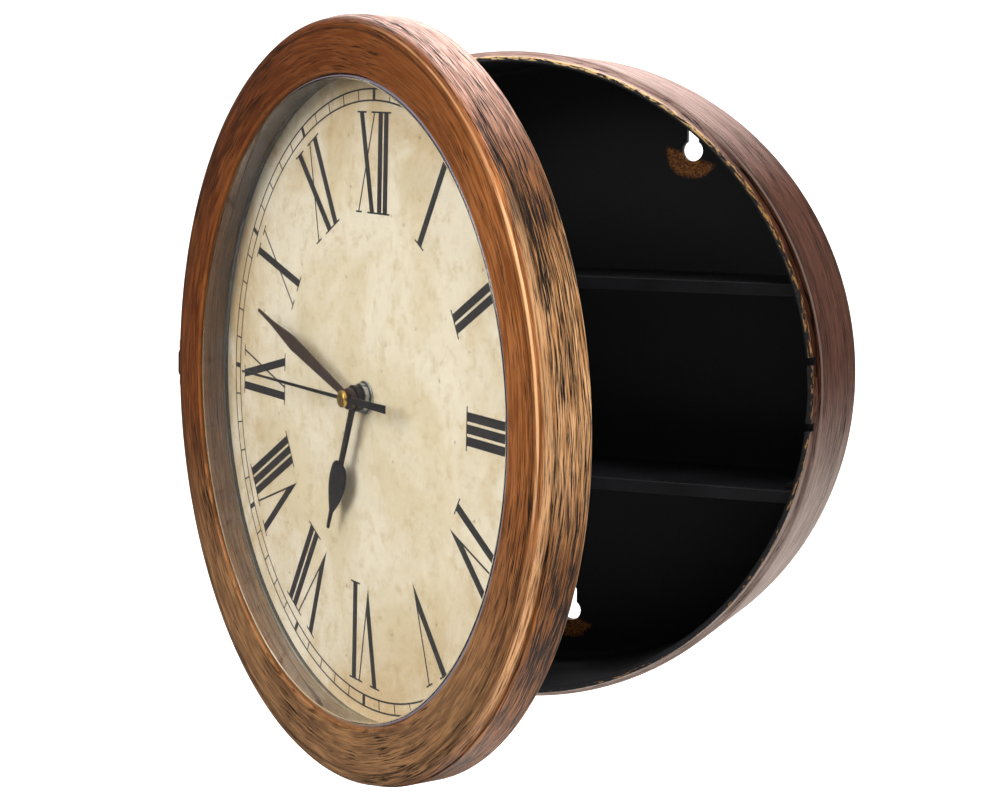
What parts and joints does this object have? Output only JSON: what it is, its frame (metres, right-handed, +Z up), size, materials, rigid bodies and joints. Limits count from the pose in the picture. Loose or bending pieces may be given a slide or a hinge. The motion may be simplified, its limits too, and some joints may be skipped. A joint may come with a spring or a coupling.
{
  "type": "clock diversion safe",
  "caption": "Round wall clock whose hinged dial door swings open on a shelved hidden drum for valuables; quartz movement, keyhole hangers and spring catch.",
  "frame": {"origin": "centre of the flat back of the drum, on the wall's plane", "axes": "+Y into the wall, so the closed dial looks along -Y; +Z up, towards the closed dial's twelve; +X to the right as seen from the room"},
  "size_m": [0.2479, 0.213, 0.2526],
  "materials": {
    "drum_copper_paint": "copper-brown metallic paint over moulded plastic, rubbed to satin",
    "bezel_copper_paint": "antique copper paint on moulded plastic, brushed with dark streaks",
    "black_abs": "moulded black plastic, fine grain",
    "clear_polystyrene": "clear moulded plastic, polished",
    "printed_dial": "printed board, aged parchment colour",
    "black_aluminium": "thin sheet, painted black",
    "steel": "plated",
    "brass": "turned, bright",
    "black_rubber": "soft, matte",
    "white_acetal": "natural moulded gear plastic",
    "battery_jacket": "plain printed jacket"
  },
  "bodies": {
    "case": {"case_shell": "drum_copper_paint", "shelf_upper": "black_abs", "shelf_lower": "black_abs", "hinge_pin": "steel"},
    "door": {"bezel_ring": "bezel_copper_paint", "door_pan": "black_abs", "pan_screw_1": "steel", "pan_screw_2": "steel", "pan_screw_3": "steel", "pan_screw_4": "steel", "pan_screw_5": "steel", "pan_screw_6": "steel", "lens": "clear_polystyrene", "dial_plate": "printed_dial", "rubber_washer": "black_rubber", "metal_washer": "steel", "dial_nut": "steel", "movement_front": "black_abs", "movement_case": "black_abs", "battery": "battery_jacket", "battery_contact_plus": "steel", "battery_contact_minus": "steel"},
    "setting": {"motion_wheel": "white_acetal", "setting_knob": "black_abs"},
    "hour": {"hour_wheel": "white_acetal", "hour_hand": "black_aluminium"},
    "minute": {"cannon_pinion": "brass", "minute_hand": "black_aluminium"},
    "second": {"second_arbor": "steel", "second_hand": "black_aluminium", "second_cap": "brass"}
  },
  "joints": [
    {"name": "door_hinge", "type": "hinge", "parent": "case", "child": "door", "pos_m": [-0.1273, -0.066, 0], "axis": [0, 0, -1], "range_deg": [-35, 75]},
    {"name": "minute_spin", "type": "hinge", "parent": "door", "child": "minute", "pos_m": [-0.02302, -0.13902, 0], "axis": [0.5736, 0.8192, 0], "continuous": true},
    {"name": "hour_spin", "type": "hinge", "parent": "door", "child": "hour", "pos_m": [-0.02302, -0.13902, 0], "axis": [0.5736, 0.8192, 0], "continuous": true},
    {"name": "setting_spin", "type": "hinge", "parent": "door", "child": "setting", "pos_m": [-0.02302, -0.13902, 0.008], "axis": [0.5736, 0.8192, 0], "continuous": true},
    {"name": "second_spin", "type": "hinge", "parent": "door", "child": "second", "pos_m": [-0.02302, -0.13902, 0], "axis": [0.5736, 0.8192, 0], "continuous": true}
  ],
  "couplings": [
    {"joint": "hour_spin", "follows": "minute_spin", "ratio": 0.083333},
    {"joint": "setting_spin", "follows": "minute_spin", "ratio": -0.33333}
  ]
}
